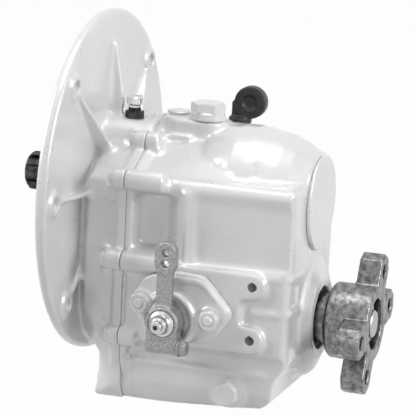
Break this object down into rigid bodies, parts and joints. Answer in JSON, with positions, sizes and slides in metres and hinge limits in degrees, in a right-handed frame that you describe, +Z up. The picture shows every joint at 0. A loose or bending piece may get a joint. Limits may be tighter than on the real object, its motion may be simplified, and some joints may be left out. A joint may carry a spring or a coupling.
{
  "type": "marine gearbox",
  "caption": "Reversing boat gearbox with a round engine flange, a side shift lever, splined input shaft and lugged output coupling.",
  "frame": {"origin": "centre of the engine flange's front face, on the input shaft's axis", "axes": "+X aft along the shafts, towards the output coupling; -Y towards the shift lever; +Z up"},
  "size_m": [0.27, 0.25, 0.272],
  "materials": {
    "casing_paint": "gloss silver paint on cast aluminium",
    "painted_steel": "gloss silver paint on steel",
    "bright_steel": "machined",
    "black_steel": "black oxide",
    "gear_steel": "ground",
    "zinc_steel": "zinc plated, matt",
    "chrome": "bright",
    "bronze": "sintered bronze",
    "copper_washer": "soft copper",
    "rubber": "matt",
    "gasket": "fibre sheet",
    "black_plastic": "moulded"
  },
  "bodies": {
    "casing": {"front_housing": "casing_paint", "rear_housing": "casing_paint", "case_gasket": "gasket", "case_bolts": "painted_steel", "dowel_pins": "gear_steel", "rear_bearing_cap": "casing_paint", "input_seal": "rubber", "output_seal": "rubber", "input_front_bearing_outer_ring": "gear_steel", "input_rear_bearing_outer_ring": "gear_steel", "output_front_bearing_outer_ring": "gear_steel", "output_rear_bearing_outer_ring": "gear_steel", "idler_shaft": "gear_steel", "shift_cover": "casing_paint", "cover_gasket": "gasket", "cover_studs": "painted_steel", "cover_nuts": "painted_steel", "shift_shaft_ring": "rubber", "shift_washer": "bright_steel", "filler_plug": "painted_steel", "filler_washer": "copper_washer", "blanking_plug": "painted_steel", "breather_body": "black_steel", "breather_cap": "chrome", "drain_plug": "painted_steel", "drain_washer": "copper_washer"},
    "input_train": {"input_shaft": "black_steel", "forward_pinion": "gear_steel", "reverse_pinion": "gear_steel", "input_front_bearing_inner_ring": "gear_steel", "input_front_bearing_rollers": "gear_steel", "input_rear_bearing_inner_ring": "gear_steel", "input_rear_bearing_rollers": "gear_steel"},
    "output_train": {"output_shaft": "gear_steel", "output_coupling": "bright_steel", "output_nut": "bright_steel", "thrust_washers": "bronze", "clutch_hub": "gear_steel", "forward_inner_discs": "bronze", "reverse_inner_discs": "bronze", "pressure_plates": "gear_steel", "output_front_bearing_inner_ring": "gear_steel", "output_front_bearing_rollers": "gear_steel", "output_rear_bearing_inner_ring": "gear_steel", "output_rear_bearing_rollers": "gear_steel"},
    "forward_gear_body": {"forward_gear": "gear_steel", "forward_gear_bush": "bronze", "forward_outer_discs": "gear_steel"},
    "reverse_gear_body": {"reverse_gear": "gear_steel", "reverse_gear_bush": "bronze", "reverse_outer_discs": "gear_steel"},
    "idler_body": {"idler_gear": "gear_steel", "idler_bush": "bronze"},
    "sleeve_body": {"shift_sleeve": "gear_steel"},
    "shoe_body": {"shift_shoe": "bronze"},
    "lever_body": {"shift_shaft": "bright_steel", "shift_lever": "zinc_steel", "lever_clamp_bolt": "zinc_steel"},
    "dipstick_body": {"dipstick_handle": "black_plastic", "dipstick_rod": "gear_steel"}
  },
  "joints": [
    {"name": "input_spin", "type": "hinge", "parent": "casing", "child": "input_train", "pos_m": [0.08, 0, 0], "axis": [1, 0, 0], "continuous": true},
    {"name": "forward_gear_spin", "type": "hinge", "parent": "casing", "child": "forward_gear_body", "pos_m": [0.122, 0, -0.084], "axis": [1, 0, 0], "continuous": true},
    {"name": "reverse_gear_spin", "type": "hinge", "parent": "casing", "child": "reverse_gear_body", "pos_m": [0.052, 0, -0.084], "axis": [1, 0, 0], "continuous": true},
    {"name": "idler_spin", "type": "hinge", "parent": "casing", "child": "idler_body", "pos_m": [0.052, 0.0435, -0.02662], "axis": [1, 0, 0], "continuous": true},
    {"name": "output_spin", "type": "hinge", "parent": "casing", "child": "output_train", "pos_m": [0.1, 0, -0.084], "axis": [1, 0, 0], "continuous": true},
    {"name": "shift_lever_turn", "type": "hinge", "parent": "casing", "child": "lever_body", "pos_m": [0.0865, -0.085, -0.079], "axis": [0, 1, 0], "range_deg": [-30, 30]},
    {"name": "sleeve_slide", "type": "slide", "parent": "output_train", "child": "sleeve_body", "axis": [1, 0, 0], "range_m": [-0.0016, 0.0016]},
    {"name": "shoe_slide", "type": "slide", "parent": "casing", "child": "shoe_body", "axis": [1, 0, 0], "range_m": [-0.0016, 0.0016]},
    {"name": "dipstick_pull", "type": "slide", "parent": "casing", "child": "dipstick_body", "axis": [0, 0, 1], "range_m": [0, 0.17]}
  ],
  "couplings": [
    {"joint": "forward_gear_spin", "follows": "input_spin", "ratio": -0.55556},
    {"joint": "idler_spin", "follows": "input_spin", "ratio": -1.125},
    {"joint": "reverse_gear_spin", "follows": "input_spin", "ratio": 0.5625},
    {"joint": "sleeve_slide", "follows": "shift_lever_turn", "m_per_rad": -0.003},
    {"joint": "shoe_slide", "follows": "shift_lever_turn", "m_per_rad": -0.003}
  ]
}
